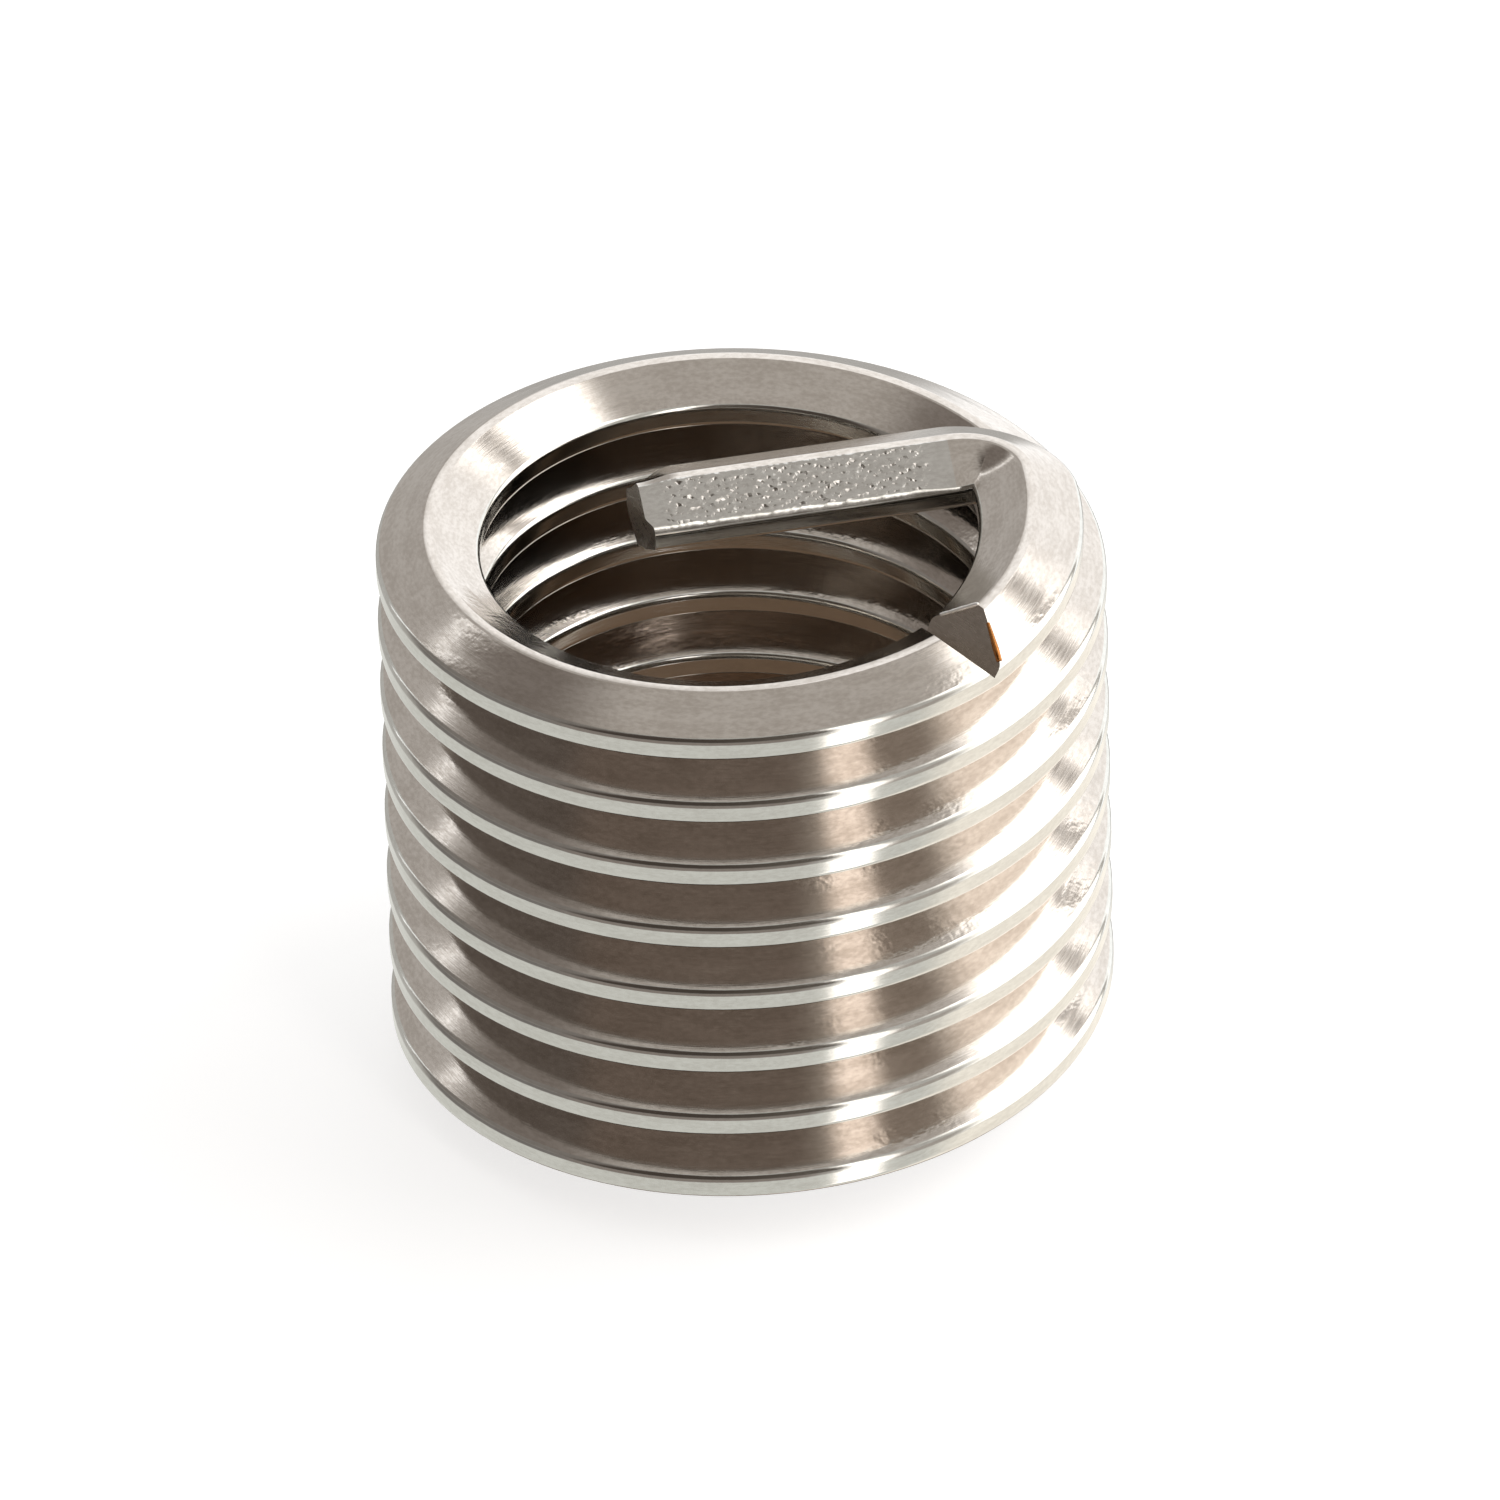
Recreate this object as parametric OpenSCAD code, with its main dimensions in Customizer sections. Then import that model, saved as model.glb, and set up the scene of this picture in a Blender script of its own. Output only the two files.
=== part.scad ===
// Wire thread insert, in its free state before it is wound into a tapped hole.
// One length of rolled stainless wire of rhombic section is coiled right-handed. The outer crests of the coil
// are the screw thread that grips the hole, and the inner crests are the thread that takes the screw.
// Z runs up the axis of the coil. The coil stands on its cut end at Z = 0, and the driving tang is at the top.

/* [Coil] */
// Outside diameter of the free coil, over the outer crests
coil_od = 12.5; // [11.5:0.05:14]
// Turns of round coil, from the cut end up to the break notch
coil_turns = 7.57; // [3:0.01:12]
// Gap left along the axis between one turn and the next
turn_gap = 0.015; // [0.005:0.005:0.2]
// Compass angle of the break notch round the axis, counted from X towards Y
notch_azimuth = -46.5; // [-180:0.5:180]

/* [Wire section] */
// Height of the rolled wire along the axis, from ridge to ridge
wire_h = 1.31; // [1.1:0.01:1.5]
// Width of the rolled wire across the radius, from inner crest to outer crest
wire_w = 1.785; // [1.6:0.005:1.95]
// Included angle between the two flanks that meet at a ridge's thread groove
thread_angle = 60; // [56:1:64]
// Width of the small flat that the rolls leave along each ridge
ridge_flat = 0.06; // [0.02:0.01:0.12]
// Bevel that stands for the rounded corners of each crest
crest_bevel = 0.045; // [0.01:0.005:0.08]

/* [Break notch] */
// Depth of the notch, from the top ridge down to its root
notch_depth = 0.65; // [0.3:0.01:0.8]
// Included angle of the notch
notch_angle = 80; // [50:1:100]
// How far the notch is turned away from the radius, in degrees
notch_skew = 5; // [0:1:10]

/* [Tang] */
// How far the wire is set inward at the notch, in degrees
hook_set = 6; // [0:1:10]
// Angle that the wire sweeps between the notch and the tang's bend
hook_sweep = 50; // [35:1:65]
// Radius of the tang's bend, at the middle of the wire
bend_r = 1.1; // [1:0.05:1.6]
// Angle through which the wire is bent to make the tang
bend_angle = 91.7; // [85:0.1:98]
// Straight length of the tang, from the bend to its tip
tang_length = 5.36; // [3:0.01:6]
// Slant of the cut across the tip, in degrees
tip_slant = 7; // [0:1:15]

/* [Smoothness] */
// Facets along one turn of the coil
turn_facets = 44; // [24:4:48]
// Facets round the tang's bend
bend_facets = 12; // [6:1:20]

/* [Hidden] */
// Pitch of the free coil
pitch = wire_h + turn_gap;
// Radius of the coil at the middle of the wire
mean_r = (coil_od - wire_w) / 2;
// Climb for each millimetre along the coil
climb = pitch / (2 * PI * mean_r);
coil_sweep = 360 * coil_turns;
coil_steps = ceil(coil_turns * turn_facets);
hook_steps = ceil(hook_sweep * turn_facets / 360);
// Half height of a crest's flat, where the flanks run out
crest_half = wire_h / 2 - (wire_w - ridge_flat) / 2 * tan(thread_angle / 2);
// How far the notch's cutter stands clear of the wire
cutter_margin = 0.5;

// One corner of a crest, bevelled between its flat and its flank
function crest_corner(side, up) = [
    [side * wire_w / 2, up * (crest_half - crest_bevel)],
    [side * (wire_w / 2 - crest_bevel), up * (crest_half + crest_bevel * tan(thread_angle / 2))]
];

// The two points at the ends of a ridge's small flat
function ridge_points(up) = [
    [up * ridge_flat / 2, up * wire_h / 2],
    [-up * ridge_flat / 2, up * wire_h / 2]
];

function reversed(points) = [for (i = [len(points) - 1:-1:0]) points[i]];

// Rhombic section of the wire: the first value is outward across the radius, the second is up
wire_section = concat(
    crest_corner(1, 1),
    ridge_points(1),
    reversed(crest_corner(-1, 1)),
    crest_corner(-1, -1),
    ridge_points(-1),
    reversed(crest_corner(1, -1))
);

// A station of the wire is [x, y, z, heading]. This is the station after a left-hand arc of radius r
// that turns through the angle turn and rises by rise for each millimetre of wire.
function after_arc(start, r, turn, rise) = [
    start[0] + r * (cos(start[3] + 90) + cos(start[3] - 90 + turn)),
    start[1] + r * (sin(start[3] + 90) + sin(start[3] - 90 + turn)),
    start[2] + rise * r * turn * PI / 180,
    start[3] + turn
];

function arc_stations(start, r, turn, rise, steps) = [
    for (i = [1:steps]) after_arc(start, r, turn * i / steps, rise)
];

// The same station with its heading turned on the spot
function turned(station, angle) = [station[0], station[1], station[2], station[3] + angle];

// The station after a straight, level run
function after_run(start, run) = [
    start[0] + run * cos(start[3]),
    start[1] + run * sin(start[3]),
    start[2],
    start[3]
];

cut_azimuth = notch_azimuth - coil_sweep;
cut_end = [mean_r * cos(cut_azimuth), mean_r * sin(cut_azimuth), wire_h / 2, cut_azimuth + 90];
coil = arc_stations(cut_end, mean_r, coil_sweep, climb, coil_steps);
at_notch = coil[coil_steps - 1];
hook = arc_stations(turned(at_notch, hook_set), mean_r, hook_sweep, climb, hook_steps);
bend = arc_stations(hook[hook_steps - 1], bend_r, bend_angle, 0, bend_facets);
tip = after_run(bend[bend_facets - 1], tang_length);
// The wire from its cut end to the tang's tip, with the ring at the notch on the mitre of its set
wire_route = concat(
    [cut_end],
    [for (i = [0:coil_steps - 2]) coil[i]],
    [turned(at_notch, hook_set / 2)],
    hook,
    bend,
    [turned(tip, tip_slant)]
);

// The section stood upright across the wire at one station
function section_at(station) = [
    for (p = wire_section) [
        station[0] + p[0] * sin(station[3]),
        station[1] - p[0] * cos(station[3]),
        station[2] + p[1]
    ]
];

module swept_wire() {
    n = len(wire_section);
    last = len(wire_route) - 1;
    points = [for (station = wire_route) each section_at(station)];
    sides = [
        for (i = [0:last - 1])
            for (j = [0:n - 1])
                let (a = i * n + j, b = i * n + (j + 1) % n)
                    each [[a, b, b + n], [a, b + n, a + n]]
    ];
    first_cap = [for (j = [n - 1:-1:0]) j];
    last_cap = [for (j = [0:n - 1]) last * n + j];
    polyhedron(points = points, faces = concat(sides, [first_cap, last_cap]), convexity = 20);
}

// Cutter of the V notch that lets the tang snap off once the insert is in its hole
module notch_cutter() {
    height = notch_depth + cutter_margin;
    half_width = height * tan(notch_angle / 2);
    translate([at_notch[0], at_notch[1], at_notch[2] + wire_h / 2 - notch_depth])
        rotate([90, 0, notch_azimuth + 90 - notch_skew])
            linear_extrude(wire_w + 2 * cutter_margin, center = true)
                polygon([[0, 0], [half_width, height], [-half_width, height]]);
}

module wire_insert() {
    color([0.7, 0.68, 0.65])
        difference() {
            swept_wire();
            notch_cutter();
        }
}

wire_insert();
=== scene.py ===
"""Looks of a wire thread insert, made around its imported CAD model.

The insert is one length of rolled stainless wire of rhombic section, wound into a right-hand coil with a
break notch and a driving tang on its top turn. The coil's wire is swept here again with its rounded corners,
its notch is cut, its tang is peened, and each kind of surface gets its own steel. Sizes are in millimetres
until a mesh is made, and angles are in degrees.
"""

import logging
import math
from dataclasses import dataclass
from enum import Enum

import bmesh
import bpy
from mathutils import Matrix, Vector, noise


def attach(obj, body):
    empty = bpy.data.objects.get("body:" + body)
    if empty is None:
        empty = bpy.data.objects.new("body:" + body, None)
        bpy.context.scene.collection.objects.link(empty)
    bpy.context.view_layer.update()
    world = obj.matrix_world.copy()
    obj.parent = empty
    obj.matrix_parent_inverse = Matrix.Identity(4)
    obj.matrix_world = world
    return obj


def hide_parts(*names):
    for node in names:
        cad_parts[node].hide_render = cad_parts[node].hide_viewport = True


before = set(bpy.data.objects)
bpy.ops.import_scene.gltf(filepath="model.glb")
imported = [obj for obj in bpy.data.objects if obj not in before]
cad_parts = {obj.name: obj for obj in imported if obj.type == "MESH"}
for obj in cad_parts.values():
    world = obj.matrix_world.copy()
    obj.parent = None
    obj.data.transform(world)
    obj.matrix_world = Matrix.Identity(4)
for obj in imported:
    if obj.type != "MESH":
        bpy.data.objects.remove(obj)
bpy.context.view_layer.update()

LOG = logging.getLogger("wire_insert")
MM = 0.001


class Surface(Enum):
    """The kinds of surface that the wire shows, in the order of the piece's material slots."""

    FLANK = 0
    CREST = 1
    PEENED = 2
    CUT = 3
    # The next two surfaces are painted highlights: a near-white glint and an amber fringe along the notch's
    # rim.
    BURR_HIGHLIGHT = 4
    AMBER_HIGHLIGHT = 5


SectionPoint = tuple[float, float, Surface]


@dataclass(frozen=True)
class Station:
    """One place on the wire's route, in millimetres.

    Args:
        x: Place along X.
        y: Place along Y.
        z: Height of the wire's middle.
        heading: Direction in which the wire runs, from X towards Y.
        run: Length of wire behind this place.
    """

    x: float
    y: float
    z: float
    heading: float
    run: float

    def arc(self, radius: float, turn: float, rise: float) -> "Station":
        """Follows a left-hand arc.

        Args:
            radius: Radius of the arc.
            turn: Angle that the arc turns through.
            rise: Climb for each millimetre of wire.

        Returns:
            The station at the end of the arc.
        """
        start, end = math.radians(self.heading), math.radians(self.heading + turn)
        length = radius * math.radians(turn)
        return Station(
            self.x + radius * (math.sin(end) - math.sin(start)),
            self.y - radius * (math.cos(end) - math.cos(start)),
            self.z + rise * length,
            self.heading + turn,
            self.run + length,
        )

    def arcs(self, radius: float, turn: float, rise: float, steps: int) -> list["Station"]:
        """Follows a left-hand arc in equal steps.

        Args:
            radius: Radius of the arc.
            turn: Angle that the whole arc turns through.
            rise: Climb for each millimetre of wire.
            steps: Number of steps.

        Returns:
            The station at the end of each step.
        """
        return [self.arc(radius, turn * i / steps, rise) for i in range(1, steps + 1)]

    def straight(self, length: float) -> "Station":
        """Follows a level, straight run.

        Args:
            length: Length of the run.

        Returns:
            The station at the end of the run.
        """
        a = math.radians(self.heading)
        return Station(
            self.x + length * math.cos(a),
            self.y + length * math.sin(a),
            self.z,
            self.heading,
            self.run + length,
        )

    def turned(self, angle: float) -> "Station":
        """Turns the heading on the spot."""
        return Station(self.x, self.y, self.z, self.heading + angle, self.run)

    def place(self, out: float, up: float) -> Vector:
        """Gives the point that lies out across the wire and up from its middle."""
        a = math.radians(self.heading)
        return Vector((self.x + out * math.sin(a), self.y - out * math.cos(a), self.z + up))


@dataclass
class WireSection:
    """Rhombic section of the rolled wire. Its first value is outward across the radius, its second is up.

    Args:
        height: Height from ridge to ridge.
        width: Width from the inner crest to the outer crest.
        flank_slope: Slope of each flank.
        ridge_flat: Width of the flat along each ridge.
        corner_r: Radius of the crests' corners.
        ridge_r: Radius at the two edges of a ridge's flat.
        corner_steps: Strips round a crest's corner.
        ridge_steps: Strips round a ridge's edge.
        flank_steps: Strips on a flank.
        inner_flank_steps: Strips on the upper flank towards the bore, which is peened on the tang.
        hem: Width of the narrow strip that keeps a flat surface flat next to a rounded one.
    """

    height: float = 1.305
    width: float = 1.785
    flank_slope: float = 30.0
    ridge_flat: float = 0.16
    corner_r: float = 0.125
    ridge_r: float = 0.08
    corner_steps: int = 5
    ridge_steps: int = 2
    flank_steps: int = 4
    inner_flank_steps: int = 18
    hem: float = 0.008

    def crest_half(self) -> float:
        """Half the height of a crest's flat, measured to where the flanks' planes meet it."""
        fall = math.tan(math.radians(self.flank_slope))
        return self.height / 2 - (self.width - self.ridge_flat) / 2 * fall

    def quarter(self, flank_steps: int, corner_r: float) -> list[SectionPoint]:
        """Walks from the middle of the outer crest up to the middle of the upper ridge.

        Args:
            flank_steps: Number of strips that the flank is divided into.
            corner_r: Radius of the crest's corner.

        Returns:
            The points of the walk, each with the surface of the strip that starts there.
        """
        slope = math.radians(self.flank_slope)
        side, top = self.width / 2, self.height / 2
        turn = math.pi / 2 - slope
        reach = corner_r * math.tan(turn / 2)
        start = self.crest_half() - reach
        points = [(side, 0.0, Surface.CREST), (side, start - self.hem, Surface.CREST)]
        for i in range(self.corner_steps + 1):
            a = turn * i / self.corner_steps
            points.append(
                (
                    side - corner_r * (1 - math.cos(a)),
                    start + corner_r * math.sin(a),
                    Surface.CREST if i < self.corner_steps else Surface.FLANK,
                )
            )
        ridge_reach = self.ridge_r * math.tan(slope / 2)
        low_out, low_up = points[-1][:2]
        high_out = self.ridge_flat / 2 + ridge_reach * math.cos(slope)
        high_up = top - ridge_reach * math.sin(slope)
        run = math.hypot(high_out - low_out, high_up - low_up)
        shares = [self.hem / run]
        shares += [
            self.hem / run + (1 - 2 * self.hem / run) * i / flank_steps for i in range(1, flank_steps + 1)
        ]
        for share in shares:
            points.append(
                (
                    low_out + (high_out - low_out) * share,
                    low_up + (high_up - low_up) * share,
                    Surface.FLANK,
                )
            )
        for i in range(self.ridge_steps + 1):
            a = slope * (1 - i / self.ridge_steps)
            points.append(
                (
                    self.ridge_flat / 2 - ridge_reach + self.ridge_r * math.sin(a),
                    top - self.ridge_r * (1 - math.cos(a)),
                    Surface.FLANK,
                )
            )
        return points

    def outline(self, near_corner_r: float) -> list[SectionPoint]:
        """Walks once round the section, counter-clockwise, from the middle of the outer crest.

        Args:
            near_corner_r: Radius of the inner crest's upper corner.

        Returns:
            The points of the outline, each with the surface of the strip that starts there.
        """
        outer = self.quarter(self.flank_steps, self.corner_r)
        inner = self.quarter(self.inner_flank_steps, near_corner_r)
        walk = list(outer)
        walk += [(-p, q, s) for (p, q, _), s in _backwards(inner)]
        walk += [(-p, -q, s) for p, q, s in outer[1:]]
        walk += [(p, -q, s) for (p, q, _), s in _backwards(outer)][:-1]
        return walk


def _backwards(points: list[SectionPoint]) -> list[tuple[SectionPoint, Surface]]:
    """Turns a walk round.

    Args:
        points: The points of a walk, each with the surface of the strip that starts there.

    Returns:
        The same points in the opposite order, each with the surface of the strip that now starts there.
    """
    last = len(points) - 1
    return [(points[i], points[max(i - 1, 0)][2]) for i in range(last, -1, -1)]


@dataclass(frozen=True)
class Ring:
    """One ring of the swept wire.

    Args:
        points: Its points, in the order of the section's outline.
        run: Length of wire behind it.
        on_tang: Whether it belongs to the straight tang.
        peened: How strongly it is peened, from 0 to 1.
    """

    points: list[Vector]
    run: float
    on_tang: bool = False
    peened: float = 0.0


@dataclass
class Tang:
    """The bend on the coil's top turn, and the driving tang that crosses the bore.

    Args:
        section: Section of the wire.
        bend_r: Radius of the bend at the middle of the wire.
        bend_angle: Angle of the bend.
        crease_reach: How far the crease reaches into the wire from the inside of the bend.
        crease_hardness: How suddenly the crease sets in.
        bend_thinning: How much the outside of the bend is drawn thin, as a share of its reach.
        length: Straight length of the tang.
        twist: Twist of the tang about its length.
        peened_corner_r: Radius of the crest's corner beside the peened flank.
        corner_fade: Length of tang over which that corner is rounded.
        peen_margin: Width of the bare edge beside the peened flank.
        peen_fade: Width over which the dents fade at that edge.
        peen_depth: Depth of the dents.
        peen_size: Width of the dents.
        bare_tip: Length without dents at the tip.
        tip_fade: Length over which the dents fade towards the tip.
        bare_root: Length without dents at the bend.
        root_fade: Length over which the dents fade towards the bend.
        tip_slant: Slant of the cut across the tip.
        tip_wear: How far the tip's near edge is worn back.
        tip_wear_from: Where the wear starts across the wire.
        tip_wear_fade: Width over which the wear sets in.
        tip_press: How far the tip's far side is pressed down.
        tip_press_from: Where the pressing starts across the wire.
        tip_press_length: Length of tang that is pressed.
        bend_facets: Facets round the bend.
        facets: Facets along the tang.
    """

    section: WireSection
    bend_r: float = 1.1
    bend_angle: float = 91.7
    crease_reach: float = 0.74
    crease_hardness: float = 1.5
    bend_thinning: float = 0.08
    length: float = 5.46
    twist: float = 3.5
    peened_corner_r: float = 0.22
    corner_fade: float = 0.9
    peen_margin: float = 0.06
    peen_fade: float = 0.1
    peen_depth: float = 0.010
    peen_size: float = 0.13
    bare_tip: float = 0.21
    tip_fade: float = 0.3
    bare_root: float = 0.12
    root_fade: float = 0.6
    tip_slant: float = 1.0
    tip_wear: float = 0.12
    tip_wear_from: float = 0.62
    tip_wear_fade: float = 0.2
    tip_press: float = 0.35
    tip_press_from: float = 0.35
    tip_press_length: float = 0.75
    bend_facets: int = 24
    facets: int = 130

    def bend_ring(self, start: Station, share: float, outline: list[SectionPoint]) -> Ring:
        """Places one ring of the bend, whose inner corner is creased where the wire folds on itself.

        Args:
            start: The station where the bend starts.
            share: How far round the bend the ring stands, from 0 to 1.
            outline: The section's points.

        Returns:
            The ring.
        """
        turn = self.bend_angle * share
        twist = math.radians(self.twist * smooth(share))
        station = start.arc(self.bend_r, turn, 0)
        from_end = min(turn, self.bend_angle - turn)
        mitre = 1 / math.cos(math.radians(from_end)) - 1
        side = self.section.width / 2
        points = []
        for p, q, _ in outline:
            inside = max(0.0, (-p - (side - self.crease_reach)) / self.crease_reach)
            fold = inside**self.crease_hardness
            thin = self.bend_thinning * max(p, 0.0) * math.sin(math.pi * share)
            out = p + (self.bend_r + p) * mitre * fold - thin
            across = out * math.cos(twist) - q * math.sin(twist)
            points.append(station.place(across, q + out * math.sin(twist)))
        return Ring(points, station.run)

    def tang_ring(self, start: Station, share: float, outlines: tuple) -> Ring:
        """Places one ring of the tang, with its peened flank and its pressed tip.

        Args:
            start: The station where the tang starts.
            share: How far along the tang the ring stands, from 0 to 1.
            outlines: The section's points as rolled, and as rounded by the peening.

        Returns:
            The ring.
        """
        station = start.straight(self.length * share)
        left = self.length * (1 - share)
        peened = self.peened_share(left)
        press = smooth(1 - left / self.tip_press_length)
        rounding = smooth((self.length - left) / self.corner_fade)
        slant = math.tan(math.radians(self.tip_slant)) * press
        twist = math.radians(self.twist)
        slope = math.radians(self.section.flank_slope)
        side = self.section.width / 2
        points = []
        for rolled, rounded in zip(*outlines):
            p = rolled[0] + (rounded[0] - rolled[0]) * rounding
            q = rolled[1] + (rounded[1] - rolled[1]) * rounding
            share_down = smooth((p + self.tip_press_from) / (side + self.tip_press_from))
            down = self.tip_press * press * share_down
            if on_peened_flank(rolled):
                edge = smooth((-p - self.peen_margin / 2) / self.peen_fade)
                edge *= smooth((side - self.peen_margin + p) / self.peen_fade)
                depth = self.peen_depth * peened * edge * peening(station.run, p, self.peen_size)
                p, q = p + depth * math.sin(slope), q - depth * math.cos(slope)
            back = slant * (side - p) / 2 * press
            back += self.tip_wear * press * smooth((-p - self.tip_wear_from) / self.tip_wear_fade)
            across = p * math.cos(twist) - q * math.sin(twist)
            points.append(station.straight(-back).place(across, q + p * math.sin(twist) - down))
        return Ring(points, station.run, on_tang=True, peened=peened)

    def peened_share(self, left: float) -> float:
        """Says how strongly the tang is peened at one place.

        Args:
            left: Length of tang from that place to its tip.

        Returns:
            The share, from 0 at the ends to 1.
        """
        from_bend = self.length - left
        return smooth((left - self.bare_tip) / self.tip_fade) * smooth(
            (from_bend - self.bare_root) / self.root_fade
        )

    def rings(self, start: Station, outline: list[SectionPoint]) -> list[Ring]:
        """Follows the wire round the bend and along the tang.

        Args:
            start: The station where the bend starts.
            outline: The section's points as rolled.

        Returns:
            The rings on the way.
        """
        bend = [self.bend_ring(start, i / self.bend_facets, outline) for i in range(1, self.bend_facets + 1)]
        root = start.arc(self.bend_r, self.bend_angle, 0)
        outlines = (outline, self.section.outline(self.peened_corner_r))
        return bend + [self.tang_ring(root, i / self.facets, outlines) for i in range(1, self.facets + 1)]


@dataclass(frozen=True)
class Burr:
    """A thin burr that the notch's cutter pushed up along the rim; its colour is a painted highlight along
    that rim.

    Args:
        low: Where it starts, out across the wire.
        high: Where it ends.
        radius: Its radius at its thickest.
        kind: Its surface, whose colour is a painted highlight.
        sides: Facets round it.
    """

    low: float
    high: float
    radius: float
    kind: Surface
    sides: int = 8

    def raise_along(self, shape: bmesh.types.BMesh, path: list[Vector]) -> None:
        """Adds the burr to the wire, half sunk into the rim.

        Args:
            shape: The wire.
            path: The rim's points.
        """
        layer = shape.loops.layers.uv.active
        rings, length = [], 0.0
        for i, point in enumerate(path):
            ahead = (path[min(i + 1, len(path) - 1)] - path[max(i - 1, 0)]).normalized()
            level = ahead.cross(Vector((0, 0, 1))).normalized()
            top = ahead.cross(level)
            length += (point - path[max(i - 1, 0)]).length
            taper = 0.6 + 0.4 * math.sin(math.pi * i / (len(path) - 1)) ** 0.5
            r = self.radius * taper * (1 + 0.35 * noise.noise(point * 9))
            corners = []
            for j in range(self.sides):
                a = 2 * math.pi * j / self.sides
                corner = point + level * r * math.cos(a) + top * r * math.sin(a)
                corners.append(shape.verts.new(corner * MM))
            rings.append((corners, length))
        faces = [(rings[0][0][::-1], 0.0, 0.0), (rings[-1][0], length, length)]
        for (near, start), (far, end) in zip(rings, rings[1:]):
            for j in range(self.sides):
                k = (j + 1) % self.sides
                faces.append(((near[j], near[k], far[k], far[j]), start, end))
        for corners, start, end in faces:
            face = shape.faces.new(corners)
            face.material_index, face.smooth = self.kind.value, len(corners) == 4
            for i, loop in enumerate(face.loops):
                loop[layer].uv = (start if i < 2 else end, 0.02 * i)


@dataclass
class BreakNotch:
    """The V notch at which the tang is broken off.

    Args:
        section: Section of the wire.
        azimuth: Compass angle of the notch round the axis.
        depth: Its depth from the ridge to its root.
        angle: Its included angle.
        skew: How far it is turned away from the radius.
        cutter_margin: How far its cutter stands clear of the wire.
        burr_from: How far beyond the root the burrs start.
        burrs: The burrs along the rim of its wall on the tang's side, coloured as painted highlights.
    """

    section: WireSection
    azimuth: float = -46.5
    depth: float = 0.65
    angle: float = 80.0
    skew: float = 5.0
    cutter_margin: float = 0.5
    burr_from: float = 0.02
    burrs: tuple[Burr, ...] = (
        # Painted highlights: the first burr is near-white, the second amber.
        Burr(-0.848, -0.12, 0.042, Surface.BURR_HIGHLIGHT),
        Burr(0.05, 0.83, 0.052, Surface.AMBER_HIGHLIGHT),
    )

    def axes(self, at: Station) -> tuple[Vector, Vector, Vector]:
        """Finds how the notch lies.

        Args:
            at: The station at the notch.

        Returns:
            The middle of its root, the way along the wire, and the way out across it.
        """
        cross = math.radians(self.azimuth + 90 - self.skew)
        along = Vector((math.cos(cross), math.sin(cross), 0))
        out = Vector((math.sin(cross), -math.cos(cross), 0))
        return Vector((at.x, at.y, at.z + self.section.height / 2 - self.depth)), along, out

    def cutter(self, at: Station) -> bpy.types.Object:
        """Makes the prism that cuts the V.

        Args:
            at: The station at the notch.

        Returns:
            The cutter, with its root across the wire at the depth of the notch.
        """
        height = self.depth + self.cutter_margin
        half = height * math.tan(math.radians(self.angle / 2))
        reach = self.section.width / 2 + self.cutter_margin
        root, along, out = self.axes(at)
        up = Vector((0, 0, height))
        points = []
        for side in (-reach, reach):
            foot = root + out * side
            points += [foot, foot + up + along * half, foot + up - along * half]
        faces = [(0, 1, 2), (3, 5, 4), (0, 3, 4, 1), (1, 4, 5, 2), (2, 5, 3, 0)]
        mesh = bpy.data.meshes.new("notch_cutter")
        mesh.from_pydata([p * MM for p in points], [], faces)
        for material in range(len(Surface)):
            mesh.materials.append(None)
        mesh.polygons.foreach_set("material_index", [Surface.CUT.value] * len(faces))
        mesh.uv_layers.new(name=WIRE_RUN)
        for loop in mesh.loops:
            point = Vector(mesh.vertices[loop.vertex_index].co) / MM - root
            mesh.uv_layers[WIRE_RUN].uv[loop.index].vector = (point.dot(out), point.z)
        turned = bmesh.new()
        turned.from_mesh(mesh)
        bmesh.ops.recalc_face_normals(turned, faces=turned.faces)
        turned.to_mesh(mesh)
        turned.free()
        cutter = bpy.data.objects.new("notch_cutter", mesh)
        bpy.context.scene.collection.objects.link(cutter)
        return cutter

    def cut(self, piece: bpy.types.Object, at: Station) -> None:
        """Cuts the notch across the wire.

        Args:
            piece: The swept wire with its materials.
            at: The station at the notch.
        """
        cutter = self.cutter(at)
        cut = piece.modifiers.new("break_notch", "BOOLEAN")
        cut.object, cut.operation, cut.solver = cutter, "DIFFERENCE", "EXACT"
        cut.material_mode = "INDEX"
        graph = bpy.context.evaluated_depsgraph_get()
        mesh = bpy.data.meshes.new_from_object(piece.evaluated_get(graph))
        piece.modifiers.clear()
        piece.data = mesh
        bpy.data.objects.remove(cutter)

    def rim(self, mesh: bpy.types.Mesh, at: Station, burr: Burr) -> list[Vector]:
        """Follows the upper rim of the notch's wall on the tang's side, as far as one burr goes.

        Args:
            mesh: The wire with its notch cut.
            at: The station at the notch.
            burr: The burr.

        Returns:
            The rim's points, from the inside of the coil outward.
        """
        root, along, out = self.axes(at)
        kinds = {}
        for polygon in mesh.polygons:
            for key in polygon.edge_keys:
                kinds.setdefault(key, set()).add(polygon.material_index == Surface.CUT.value)
        rim = {}
        for key, kind in kinds.items():
            for i in key if len(kind) == 2 else ():
                point = mesh.vertices[i].co / MM
                reach = point - root
                across = reach.dot(out)
                beyond_root = reach.length < self.section.width and reach.dot(along) > self.burr_from
                if beyond_root and burr.low < across < burr.high:
                    rim[round(across, 3)] = point
        return [rim[place] for place in sorted(rim)]

    def raise_burrs(self, mesh: bpy.types.Mesh, at: Station) -> None:
        """Raises the burrs, coloured as painted highlights, along the rim.

        Args:
            mesh: The wire with its notch cut.
            at: The station at the notch.
        """
        paths = [self.rim(mesh, at, burr) for burr in self.burrs]
        shape = bmesh.new()
        shape.from_mesh(mesh)
        for burr, path in zip(self.burrs, paths):
            burr.raise_along(shape, path)
            LOG.info("%s on the notch: %d points", burr.kind.name.lower(), len(path))
        shape.to_mesh(mesh)
        shape.free()


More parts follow.
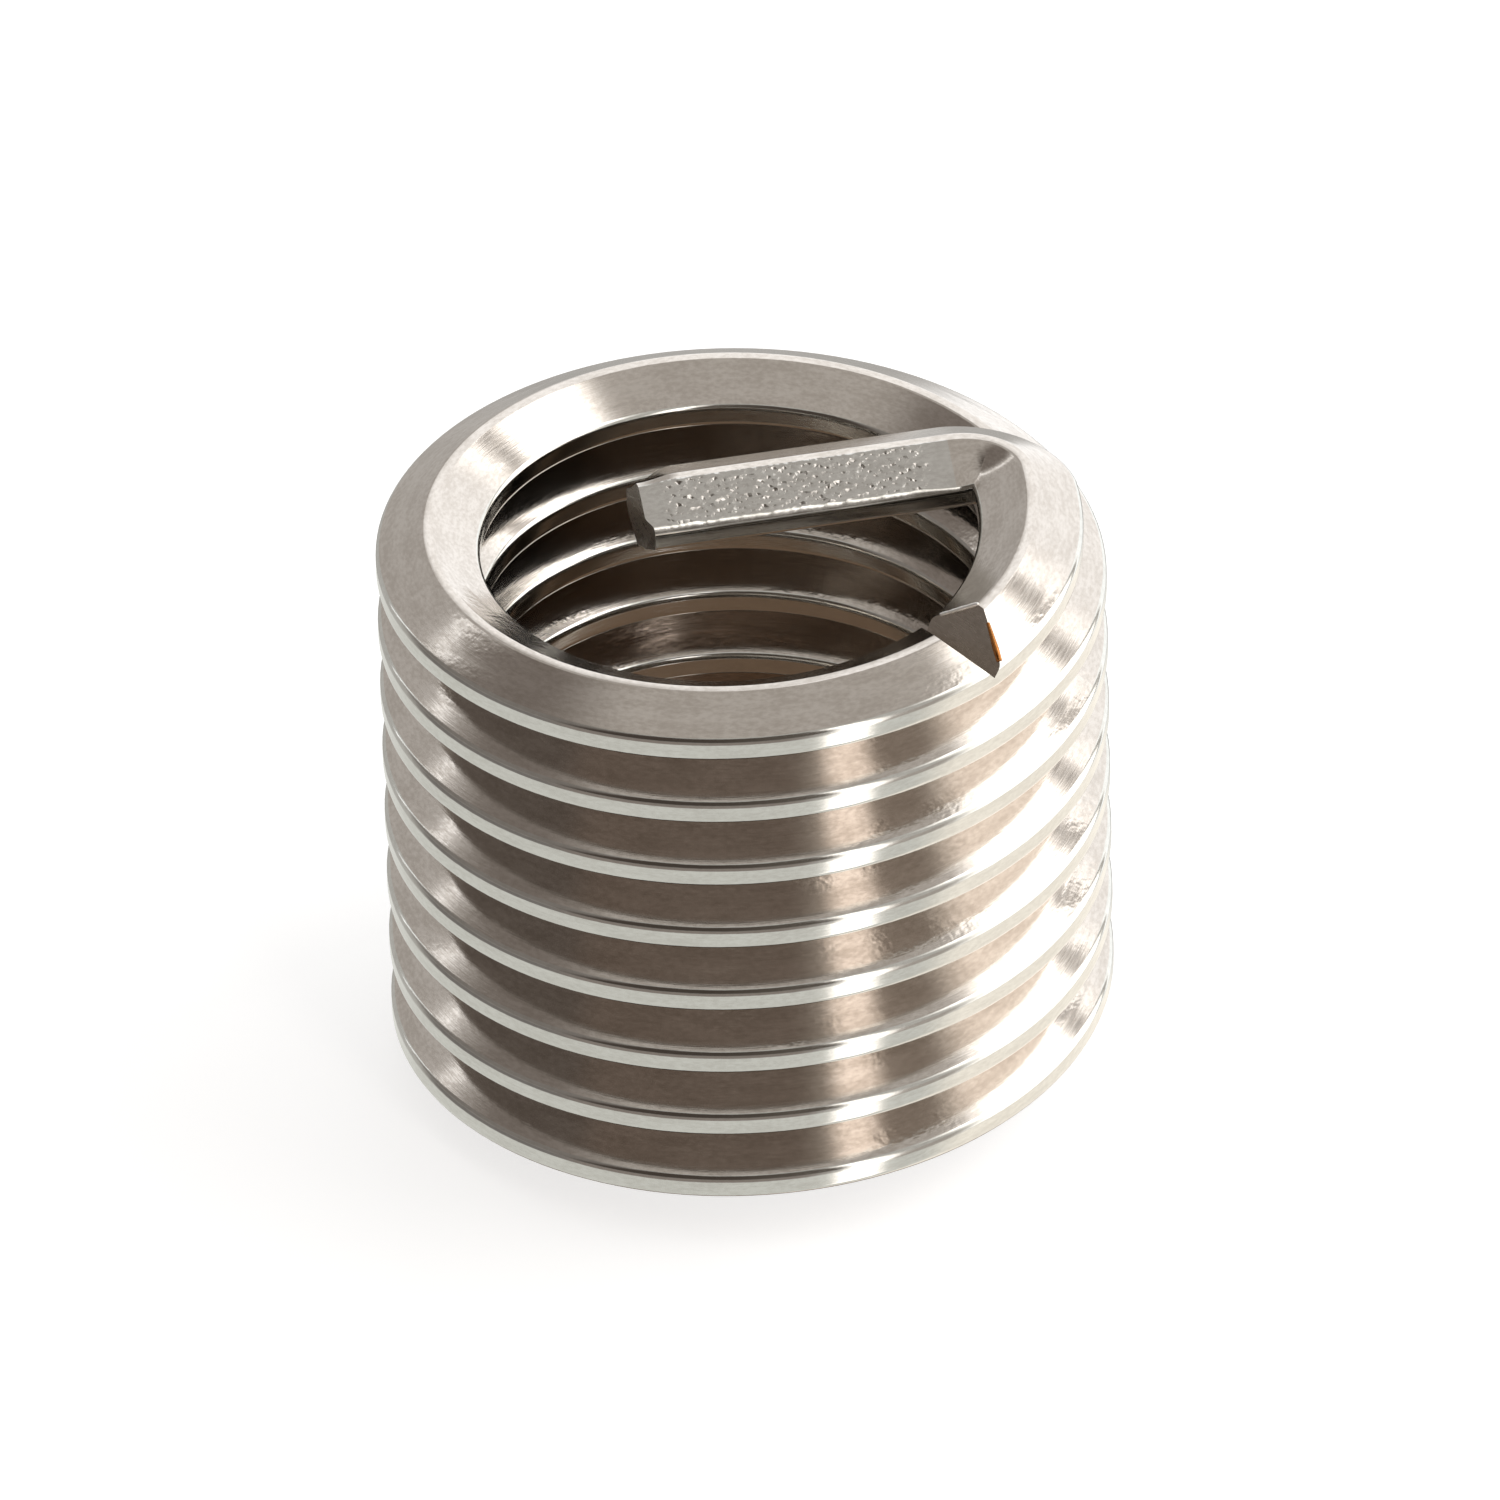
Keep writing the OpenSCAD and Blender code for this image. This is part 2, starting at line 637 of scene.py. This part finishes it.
@dataclass
class WireInsert:
    """The insert in its free state, standing on the cut end of its coil.

    Args:
        section: Section of the wire.
        notch: The break notch on its top turn.
        tang: The bend and the driving tang.
        coil_od: Outside diameter over the outer crests.
        coil_turns: Turns from the cut end up to the break notch.
        turn_gap: Gap along the axis between one turn and the next.
        hook_set: How far the wire is set inward at the notch.
        hook_sweep: Angle that the wire sweeps between the notch and the bend.
        turn_facets: Facets along one turn.
    """

    section: WireSection
    notch: BreakNotch
    tang: Tang
    coil_od: float = 12.498
    coil_turns: float = 7.57
    turn_gap: float = 0.015
    hook_set: float = 6.0
    hook_sweep: float = 50.0
    turn_facets: int = 132

    def mean_r(self) -> float:
        """Radius of the coil at the middle of the wire."""
        return (self.coil_od - self.section.width) / 2

    def climb(self) -> float:
        """Climb for each millimetre along the coil."""
        return (self.section.height + self.turn_gap) / (2 * math.pi * self.mean_r())

    def cut_end(self) -> Station:
        """Finds the cut end, which stands on the floor.

        Returns:
            The station there.
        """
        azimuth = self.notch.azimuth - 360 * self.coil_turns
        a = math.radians(azimuth)
        r = self.mean_r()
        return Station(r * math.cos(a), r * math.sin(a), self.section.height / 2, azimuth + 90, 0.0)

    def at_notch(self) -> Station:
        """The station at the break notch."""
        return self.cut_end().arc(self.mean_r(), 360 * self.coil_turns, self.climb())

    def coil(self) -> list[Station]:
        """Walks along the coil from its cut end, through the notch, to the start of the tang's bend.

        Returns:
            The stations on the way.
        """
        steps = math.ceil(self.coil_turns * self.turn_facets)
        coil = self.cut_end().arcs(self.mean_r(), 360 * self.coil_turns, self.climb(), steps)
        notch = coil.pop()
        hook_steps = math.ceil(self.hook_sweep * self.turn_facets / 360)
        hook = notch.turned(self.hook_set).arcs(self.mean_r(), self.hook_sweep, self.climb(), hook_steps)
        return [self.cut_end()] + coil + [notch.turned(self.hook_set / 2)] + hook

    def skin(self, rings: list[Ring], outline: list[SectionPoint]) -> tuple[list, list, list]:
        """Lays the faces between the rings and over the two ends.

        Args:
            rings: The wire's rings.
            outline: The section's points.

        Returns:
            The faces, their surfaces, and the places of their corners along and across the wire.
        """
        n = len(outline)
        across = [0.0]
        for j in range(n):
            a, b = outline[j], outline[(j + 1) % n]
            across.append(across[-1] + math.hypot(b[0] - a[0], b[1] - a[1]))
        faces, kinds, layout = [], [], []
        for i in range(len(rings) - 1):
            near, far = rings[i], rings[i + 1]
            for j in range(n):
                k = (j + 1) % n
                faces.append((i * n + j, (i + 1) * n + j, (i + 1) * n + k, i * n + k))
                kind = outline[j][2]
                peened = near.on_tang and on_peened_flank(outline[j]) and on_peened_flank(outline[k])
                kinds.append(Surface.PEENED.value if peened and kind is Surface.FLANK else kind.value)
                layout += [
                    (near.run, across[j]),
                    (far.run, across[j]),
                    (far.run, across[j + 1]),
                    (near.run, across[j + 1]),
                ]
        last = (len(rings) - 1) * n
        faces += [tuple(range(n)), tuple(reversed(range(last, last + n)))]
        kinds += [Surface.CUT.value] * 2
        layout += [(p, q) for p, q, _ in outline]
        layout += [(p, q) for p, q, _ in reversed(outline)]
        return faces, kinds, layout

    def swept_wire(self) -> bpy.types.Object:
        """Sweeps the section along the route.

        Returns:
            The wire before its notch is cut.
        """
        outline = self.section.outline(self.section.corner_r)
        coil = self.coil()
        rings = [Ring([s.place(p, q) for p, q, _ in outline], s.run) for s in coil]
        rings += self.tang.rings(coil[-1], outline)
        faces, kinds, layout = self.skin(rings, outline)
        mesh = bpy.data.meshes.new("wire_insert")
        mesh.from_pydata([point * MM for ring in rings for point in ring.points], [], faces)
        mesh.polygons.foreach_set("material_index", kinds)
        mesh.uv_layers.new(name=WIRE_RUN)
        mesh.uv_layers[WIRE_RUN].uv.foreach_set("vector", [x for uv in layout for x in uv])
        dents = [ring.peened for ring in rings for _ in ring.points]
        mesh.attributes.new(DENTED, "FLOAT", "POINT").data.foreach_set("value", dents)
        mesh.update()
        piece = bpy.data.objects.new("wire_insert_steel", mesh)
        bpy.context.scene.collection.objects.link(piece)
        LOG.info("wire: %d rings of %d points", len(rings), len(outline))
        return piece

    def build(self) -> bpy.types.Object:
        """Sweeps the wire, dresses it, cuts its notch and raises the burrs there.

        Returns:
            The finished piece, which stands for the CAD node.
        """
        piece = self.swept_wire()
        for finish in FINISHES:
            piece.data.materials.append(finish.material())
        self.notch.cut(piece, self.at_notch())
        for polygon in piece.data.polygons:
            polygon.use_smooth = True
        piece.data.set_sharp_from_angle(angle=math.radians(SHARP_EDGE))
        self.notch.raise_burrs(piece.data, self.at_notch())
        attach(piece, "root")
        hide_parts("wire_insert")
        return piece


def on_peened_flank(point: SectionPoint) -> bool:
    """Says whether a point of the section lies on the upper flank towards the bore."""
    return point[0] < 0 < point[1]


def smooth(x: float) -> float:
    """Eases a value from 0 to 1 and holds it outside that range."""
    x = min(max(x, 0.0), 1.0)
    return x * x * (3 - 2 * x)


def peening(run: float, out: float, size: float) -> float:
    """Gives the depth of the peened flank's dents at one place.

    Args:
        run: Place along the wire.
        out: Place across the wire.
        size: Width of a dent.

    Returns:
        The depth, from about -0.5 for a raised rim to 1 for the middle of a dent.
    """
    place = Vector((run / size, out / size, 0.0))
    near = noise.voronoi(place, distance_metric="DISTANCE")[0][0]
    return 1 - 1.6 * near + 0.5 * noise.noise(place * 2.3)


class NodeBench:
    """Adds and joins the nodes of one material or world."""

    def __init__(self, tree: bpy.types.NodeTree) -> None:
        """Starts on an emptied tree.

        Args:
            tree: The node tree.
        """
        self.tree = tree
        tree.nodes.clear()

    def add(self, kind: str, **settings: object) -> bpy.types.Node:
        """Adds a node.

        Args:
            kind: The node's type.
            settings: Its own settings.

        Returns:
            The node.
        """
        node = self.tree.nodes.new(kind)
        for name, value in settings.items():
            setattr(node, name, value)
        return node

    def feed(self, socket: bpy.types.NodeSocket, value: object) -> None:
        """Joins a socket to another node's output, or sets its value.

        Args:
            socket: The input.
            value: An output socket, a number or a colour.
        """
        if isinstance(value, bpy.types.NodeSocket):
            self.tree.links.new(value, socket)
        elif isinstance(value, tuple) and socket.type == "RGBA" and len(value) == 3:
            socket.default_value = (*value, 1)
        else:
            socket.default_value = value

    def maths(self, operation: str, *values: object) -> bpy.types.NodeSocket:
        """Adds a sum of one to three values.

        Args:
            operation: The kind of sum.
            values: Output sockets or numbers.

        Returns:
            The result's socket.
        """
        node = self.add("ShaderNodeMath", operation=operation)
        for socket, value in zip(node.inputs, values):
            self.feed(socket, value)
        return node.outputs[0]

    def ease(self, value: object, low: float, high: float, out: tuple = (0.0, 1.0)) -> bpy.types.NodeSocket:
        """Eases a value from one end of a range to the other.

        Args:
            value: The output socket to read.
            low: Where the easing starts.
            high: Where it ends.
            out: The values given at the two ends.

        Returns:
            The eased value's socket.
        """
        node = self.add("ShaderNodeMapRange", interpolation_type="SMOOTHSTEP")
        for name, number in (("Value", value), ("From Min", low), ("From Max", high)):
            self.feed(node.inputs[name], number)
        self.feed(node.inputs["To Min"], out[0])
        self.feed(node.inputs["To Max"], out[1])
        return node.outputs[0]

    def blend(self, share: object, first: object, second: object) -> bpy.types.NodeSocket:
        """Mixes two colours.

        Args:
            share: Share of the second colour.
            first: The first colour.
            second: The second colour.

        Returns:
            The mixed colour's socket.
        """
        node = self.add("ShaderNodeMix", data_type="RGBA", clamp_factor=True)
        colours = [s for s in node.inputs if s.type == "RGBA"]
        self.feed(node.inputs["Factor"], share)
        self.feed(colours[0], first)
        self.feed(colours[1], second)
        return [s for s in node.outputs if s.type == "RGBA"][0]

    def speckle(self, place: bpy.types.NodeSocket, scale: tuple, detail: float = 3.0) -> bpy.types.NodeSocket:
        """Adds noise that is stretched along the wire or across it.

        Args:
            place: The socket of the place on the surface.
            scale: Marks for each millimetre along and across.
            detail: How many finer layers it has.

        Returns:
            The noise's socket, from 0 to 1.
        """
        stretch = self.add("ShaderNodeVectorMath", operation="MULTIPLY")
        self.feed(stretch.inputs[0], place)
        stretch.inputs[1].default_value = (*scale, 1.0)
        node = self.add("ShaderNodeTexNoise")
        self.feed(node.inputs["Vector"], stretch.outputs[0])
        node.inputs["Scale"].default_value = 1.0
        node.inputs["Detail"].default_value = detail
        return node.outputs[0]

    def cells(self, place: bpy.types.NodeSocket, scale: float) -> bpy.types.NodeSocket:
        """Adds a field of round dents.

        Args:
            place: The socket of the place on the surface.
            scale: Dents for each millimetre.

        Returns:
            The socket of the depth, which is 0 in the middle of a dent and rises towards its rim.
        """
        node = self.add("ShaderNodeTexVoronoi", feature="SMOOTH_F1", voronoi_dimensions="2D")
        self.feed(node.inputs["Vector"], place)
        node.inputs["Scale"].default_value = scale
        node.inputs["Smoothness"].default_value = 0.35
        return node.outputs[0]


@dataclass(frozen=True)
class RolledSteel:
    """A steel surface of the wire, with grain along the wire, mottling and small pits.

    Args:
        name: The material's name.
        colour: The steel's colour where it is clean.
        shade: Its colour where it is stained.
        roughness: Its middle roughness.
        roughness_spread: How far the roughness goes either way.
        grain: Depth of the rolling grain.
        pits: Depth of the pits.
        marks: Depth of the handling marks, which come in patches.
        dents: Depth of the fine dents between the peened ones.
    """

    name: str
    colour: tuple[float, float, float]
    shade: tuple[float, float, float]
    roughness: float
    roughness_spread: float
    grain: float
    pits: float
    marks: float = 0.0
    dents: float = 0.0

    def material(self) -> bpy.types.Material:
        """Makes the finish.

        Returns:
            The material.
        """
        material = bpy.data.materials.new(self.name)
        material.use_nodes = True
        bench = NodeBench(material.node_tree)
        place = bench.add("ShaderNodeUVMap", uv_map=WIRE_RUN).outputs[0]
        fine = bench.maths("MULTIPLY", bench.speckle(place, (8.0, 15.0), 3.0), 0.55)
        mottle = bench.maths("MULTIPLY_ADD", bench.speckle(place, (1.3, 4.0), 3.0), 0.45, fine)
        grain = bench.speckle(place, (1.8, 46.0), 2.0)
        pits = bench.speckle(place, (13.0, 20.0), 2.0)
        shader = bench.add("ShaderNodeBsdfPrincipled")
        shader.inputs["Metallic"].default_value = 1.0
        colour = bench.blend(bench.ease(mottle, 0.35, 0.65), self.colour, self.shade)
        bench.feed(shader.inputs["Base Color"], colour)
        spread = (self.roughness - self.roughness_spread, self.roughness + self.roughness_spread)
        rough = bench.ease(bench.maths("ADD", mottle, grain), 0.7, 1.3, spread)
        bench.feed(shader.inputs["Roughness"], rough)
        height = bench.maths("MULTIPLY_ADD", grain, self.grain, bench.maths("MULTIPLY", pits, self.pits))
        if self.marks:
            patch = bench.ease(bench.speckle(place, (0.3, 1.3), 1.0), 0.54, 0.66)
            handled = bench.maths("MULTIPLY", patch, bench.speckle(place, (8.0, 9.0), 1.0))
            height = bench.maths("MULTIPLY_ADD", handled, self.marks, height)
        if self.dents:
            uneven = bench.speckle(place, (5.0, 6.0), 1.0)
            dents = bench.maths("MULTIPLY_ADD", uneven, 0.8, bench.cells(place, 8.2))
            share = bench.add("ShaderNodeAttribute", attribute_name=DENTED).outputs["Fac"]
            height = bench.maths("MULTIPLY_ADD", bench.maths("MULTIPLY", dents, share), self.dents, height)
        bump = bench.add("ShaderNodeBump")
        bump.inputs["Strength"].default_value = 1.0
        bump.inputs["Distance"].default_value = MM
        bench.feed(bump.inputs["Height"], height)
        bench.feed(shader.inputs["Normal"], bump.outputs[0])
        sheet = bench.add("ShaderNodeOutputMaterial")
        bench.feed(sheet.inputs["Surface"], shader.outputs[0])
        return material


WIRE_RUN = "wire_run"
DENTED = "dented"
SHARP_EDGE = 34.0
FINISHES = (
    RolledSteel(
        "flank_steel",
        colour=(0.615, 0.57, 0.525),
        shade=(0.50, 0.455, 0.41),
        roughness=0.12,
        roughness_spread=0.035,
        grain=0.0005,
        pits=0.00015,
        marks=0.0036,
    ),
    RolledSteel(
        "crest_steel",
        colour=(0.64, 0.635, 0.60),
        shade=(0.57, 0.56, 0.525),
        roughness=0.12,
        roughness_spread=0.03,
        grain=0.0006,
        pits=0.0004,
    ),
    RolledSteel(
        "peened_steel",
        colour=(0.61, 0.595, 0.565),
        shade=(0.52, 0.50, 0.47),
        roughness=0.15,
        roughness_spread=0.04,
        grain=0.0008,
        pits=0.0006,
        dents=0.0128,
    ),
    RolledSteel(
        "cut_steel",
        colour=(0.47, 0.42, 0.37),
        shade=(0.38, 0.335, 0.29),
        roughness=0.30,
        roughness_spread=0.06,
        grain=0.0030,
        pits=0.0030,
    ),
    # Painted highlight: a near-white colour, brighter than steel, for the glint along the notch's rim.
    RolledSteel(
        "burr_painted_highlight_steel",
        colour=(0.97, 0.96, 0.94),
        shade=(0.90, 0.88, 0.86),
        roughness=0.48,
        roughness_spread=0.06,
        grain=0.0010,
        pits=0.0020,
    ),
    # Painted highlight: an amber colour for the orange fringe of the glint along the notch's rim.
    RolledSteel(
        "amber_highlight_steel",
        colour=(0.44, 0.185, 0.055),
        shade=(0.33, 0.13, 0.04),
        roughness=0.28,
        roughness_spread=0.06,
        grain=0.0010,
        pits=0.0020,
    ),
)


@dataclass(frozen=True)
class Panel:
    """A soft panel of the studio, far off in one direction as seen from the insert.

    Args:
        name: What it is.
        azimuth: Its middle, in degrees to the right of the camera.
        half_width: Half its width in degrees.
        low: Its lower edge in degrees above the horizon.
        high: Its upper edge.
        fade: Width of its soft edge at the sides, and at the top and bottom.
        light: Its brightness in red, green and blue.
    """

    name: str
    azimuth: float
    half_width: float
    low: float
    high: float
    fade: tuple[float, float]
    light: tuple[float, float, float]


@dataclass
class Studio:
    """The floor, the soft panels round the insert and the camera.

    Args:
        room: Brightness of the studio between the panels.
        target_height: Height on the insert's axis that the camera is aimed by.
        distance: Distance from there to the camera.
        elevation: How far the camera looks down.
        roll: How far the camera is rolled.
        scale: Pixels of the photograph for each millimetre at that distance.
        photo_side: Side of the photograph in pixels.
        target_pixel: Where the aimed point falls in the photograph.
        sensor: Width of the camera's sensor.
        floor_side: Side of the floor in metres.
        shade_r: Radius of the patch of painted shade on the floor under the coil.
        panels: The soft panels, each laid over those before it.
    """

    room: tuple[float, float, float] = (0.62, 0.60, 0.57)
    target_height: float = 5.9
    distance: float = 500.0
    elevation: float = 36.0
    roll: float = 1.56
    scale: float = 58.19
    photo_side: float = 1500.0
    target_pixel: tuple[float, float] = (746.4, 752.5)
    sensor: float = 36.0
    floor_side: float = 0.4
    shade_r: float = 6.1
    panels: tuple[Panel, ...] = (
        Panel("pale floor", 0, 181, -95, -30, (1, 4), (0.84, 0.84, 0.80)),
        Panel("lit floor", 112, 50, -95, -30, (10, 4), (1.35, 1.27, 1.16)),
        Panel("low left", -82, 32, -30, 10, (8, 5), (0.25, 0.23, 0.22)),
        Panel("low front", -20, 38, -30, 10, (6, 5), (0.33, 0.285, 0.26)),
        Panel("left side", -88, 38, 10, 64, (6, 8), (0.27, 0.243, 0.225)),
        Panel("front", -15, 42, 10, 68, (8, 6), (0.085, 0.068, 0.058)),
        Panel("front right", 12, 14, 10, 64, (16, 8), (0.135, 0.115, 0.098)),
        Panel("left back", -155, 32, -30, 62, (5, 6), (0.62, 0.605, 0.585)),
        Panel("right back", 155, 30, -30, 62, (5, 6), (1.52, 1.54, 1.56)),
        Panel("low back", 180, 34, -32, -14, (10, 4), (0.50, 0.49, 0.47)),
        Panel("zenith", 0, 181, 68, 95, (1, 6), (0.62, 0.60, 0.57)),
        Panel("low gap", 49, 11, -30, 12, (4, 5), (0.54, 0.49, 0.45)),
        Panel("tall strip", 32.2, 7.0, -50, 62, (3.2, 6), (2.75, 2.62, 2.52)),
        Panel("right box", 97, 31, -26, 56, (9, 6), (2.5, 2.42, 2.33)),
        Panel("right box top", 106, 26, 32, 60, (8, 4), (3.3, 3.27, 3.22)),
        Panel("right seam", 127.2, 2.6, -26, 56, (1.4, 4), (0.5, 0.475, 0.45)),
        Panel("thin left strip", -128, 1.3, 4, 44, (0.6, 3), (1.8, 1.82, 1.84)),
    )

    def light_world(self) -> bpy.types.World:
        """Hangs the soft panels round the insert, and shows the camera plain white behind it.

        Returns:
            The world.
        """
        world = bpy.data.worlds.new("studio")
        bpy.context.scene.world = world
        world.use_nodes = True
        bench = NodeBench(world.node_tree)
        way = bench.add("ShaderNodeTexCoord").outputs["Generated"]
        split = bench.add("ShaderNodeSeparateXYZ")
        bench.feed(split.inputs[0], way)
        x, y, z = split.outputs
        azimuth = bench.maths("ARCTAN2", x, bench.maths("MULTIPLY", y, -1.0))
        elevation = bench.maths("ARCSINE", z)
        light = self.room
        for panel in self.panels:
            light = bench.blend(self.mask(bench, panel, azimuth, elevation), light, panel.light)
        studio = bench.add("ShaderNodeBackground")
        bench.feed(studio.inputs["Color"], light)
        white = bench.add("ShaderNodeBackground")
        white.inputs["Color"].default_value = (1, 1, 1, 1)
        swap = bench.add("ShaderNodeMixShader")
        bench.feed(swap.inputs[0], bench.add("ShaderNodeLightPath").outputs["Is Camera Ray"])
        bench.feed(swap.inputs[1], studio.outputs[0])
        bench.feed(swap.inputs[2], white.outputs[0])
        bench.feed(bench.add("ShaderNodeOutputWorld").inputs["Surface"], swap.outputs[0])
        return world

    def mask(
        self, bench: NodeBench, panel: Panel, azimuth: object, elevation: object
    ) -> bpy.types.NodeSocket:
        """Draws one panel's place.

        Args:
            bench: The world's nodes.
            panel: The panel.
            azimuth: The socket of the direction's azimuth.
            elevation: The socket of its elevation.

        Returns:
            The socket that is 1 inside the panel and 0 outside.
        """
        r = math.radians
        side, rim = panel.fade
        off = bench.maths("SUBTRACT", azimuth, r(panel.azimuth))
        off = bench.maths("ABSOLUTE", bench.maths("WRAP", off, math.pi, -math.pi))
        across = bench.ease(off, r(panel.half_width + side), r(panel.half_width - side))
        above = bench.ease(elevation, r(panel.low - rim), r(panel.low + rim))
        below = bench.ease(elevation, r(panel.high + rim), r(panel.high - rim))
        return bench.maths("MULTIPLY", across, bench.maths("MULTIPLY", above, below))

    def lay_floor(self) -> bpy.types.Object:
        """Lays the pale floor, which the camera sees with the insert's soft shadow on it.

        Returns:
            The floor.
        """
        half = self.floor_side / 2
        mesh = bpy.data.meshes.new("floor")
        corners = [(-half, -half, 0), (half, -half, 0), (half, half, 0), (-half, half, 0)]
        mesh.from_pydata(corners, [], [(0, 1, 2, 3)])
        floor = bpy.data.objects.new("floor", mesh)
        bpy.context.scene.collection.objects.link(floor)
        floor.visible_glossy = False
        floor.visible_shadow = False
        material = bpy.data.materials.new("pale_floor")
        material.use_nodes = True
        bench = NodeBench(material.node_tree)
        paper = bench.add("ShaderNodeBsdfDiffuse")
        paper.inputs["Color"].default_value = (0.5, 0.5, 0.5, 1)
        glow = bench.add("ShaderNodeEmission")
        glow.inputs["Strength"].default_value = 0.72
        both = bench.add("ShaderNodeAddShader")
        bench.feed(both.inputs[0], paper.outputs[0])
        bench.feed(both.inputs[1], glow.outputs[0])
        bench.feed(bench.add("ShaderNodeOutputMaterial").inputs["Surface"], both.outputs[0])
        mesh.materials.append(material)
        return floor

    def lay_shade(self) -> bpy.types.Object:
        """Lays a dark brown patch of painted shade under the coil, unseen by the camera, which its bore
        mirrors and which the coil shades.

        Returns:
            The patch.
        """
        mesh = bpy.data.meshes.new("shade")
        round_patch = bmesh.new()
        bmesh.ops.create_circle(round_patch, cap_ends=True, segments=96, radius=self.shade_r * MM)
        round_patch.to_mesh(mesh)
        round_patch.free()
        patch = bpy.data.objects.new("painted_shade_under_coil", mesh)
        patch.location.z = -0.01 * MM
        bpy.context.scene.collection.objects.link(patch)
        patch.visible_camera = False
        patch.visible_shadow = False
        material = bpy.data.materials.new("painted_shade_floor")
        material.use_nodes = True
        bench = NodeBench(material.node_tree)
        paper = bench.add("ShaderNodeBsdfDiffuse")
        # Painted shade: a dark brown colour that the bore mirrors in place of the shade under the coil.
        paper.inputs["Color"].default_value = (0.18, 0.122, 0.082, 1)
        bench.feed(bench.add("ShaderNodeOutputMaterial").inputs["Surface"], paper.outputs[0])
        mesh.materials.append(material)
        return patch

    def place_camera(self) -> bpy.types.Object:
        """Sets the camera where the photograph was taken from.

        Returns:
            The camera.
        """
        e, roll = math.radians(self.elevation), math.radians(self.roll)
        level, up = Vector((1, 0, 0)), Vector((0, math.sin(e), math.cos(e)))
        back = Vector((0, -math.cos(e), math.sin(e)))
        right = level * math.cos(roll) - up * math.sin(roll)
        top = level * math.sin(roll) + up * math.cos(roll)
        place = (Vector((0, 0, self.target_height)) + back * self.distance) * MM
        data = bpy.data.cameras.new("camera")
        data.sensor_width = self.sensor
        data.lens = self.scale * self.distance * self.sensor / self.photo_side
        data.shift_x = (self.photo_side / 2 - self.target_pixel[0]) / self.photo_side
        data.shift_y = (self.target_pixel[1] - self.photo_side / 2) / self.photo_side
        data.clip_start, data.clip_end = 0.01, 10.0
        camera = bpy.data.objects.new("camera", data)
        camera.matrix_world = Matrix(
            (
                (right.x, top.x, back.x, place.x),
                (right.y, top.y, back.y, place.y),
                (right.z, top.z, back.z, place.z),
                (0, 0, 0, 1),
            )
        )
        bpy.context.scene.collection.objects.link(camera)
        bpy.context.scene.camera = camera
        return camera

    def build(self) -> None:
        """Sets up the camera, the light, the floor and the patch of painted shade under the coil."""
        bpy.context.scene.view_settings.view_transform = "Standard"
        self.place_camera()
        self.light_world()
        self.lay_floor()
        self.lay_shade()


def main() -> None:
    """Builds the insert and its studio."""
    logging.basicConfig(level=logging.INFO, format="%(name)s: %(message)s")
    Studio().build()
    LOG.info("studio: camera, light and floor")
    section = WireSection()
    piece = WireInsert(section, BreakNotch(section), Tang(section)).build()
    piece.data.calc_loop_triangles()
    LOG.info("%s: %d triangles", piece.name, len(piece.data.loop_triangles))


if __name__ == "__main__":
    main()
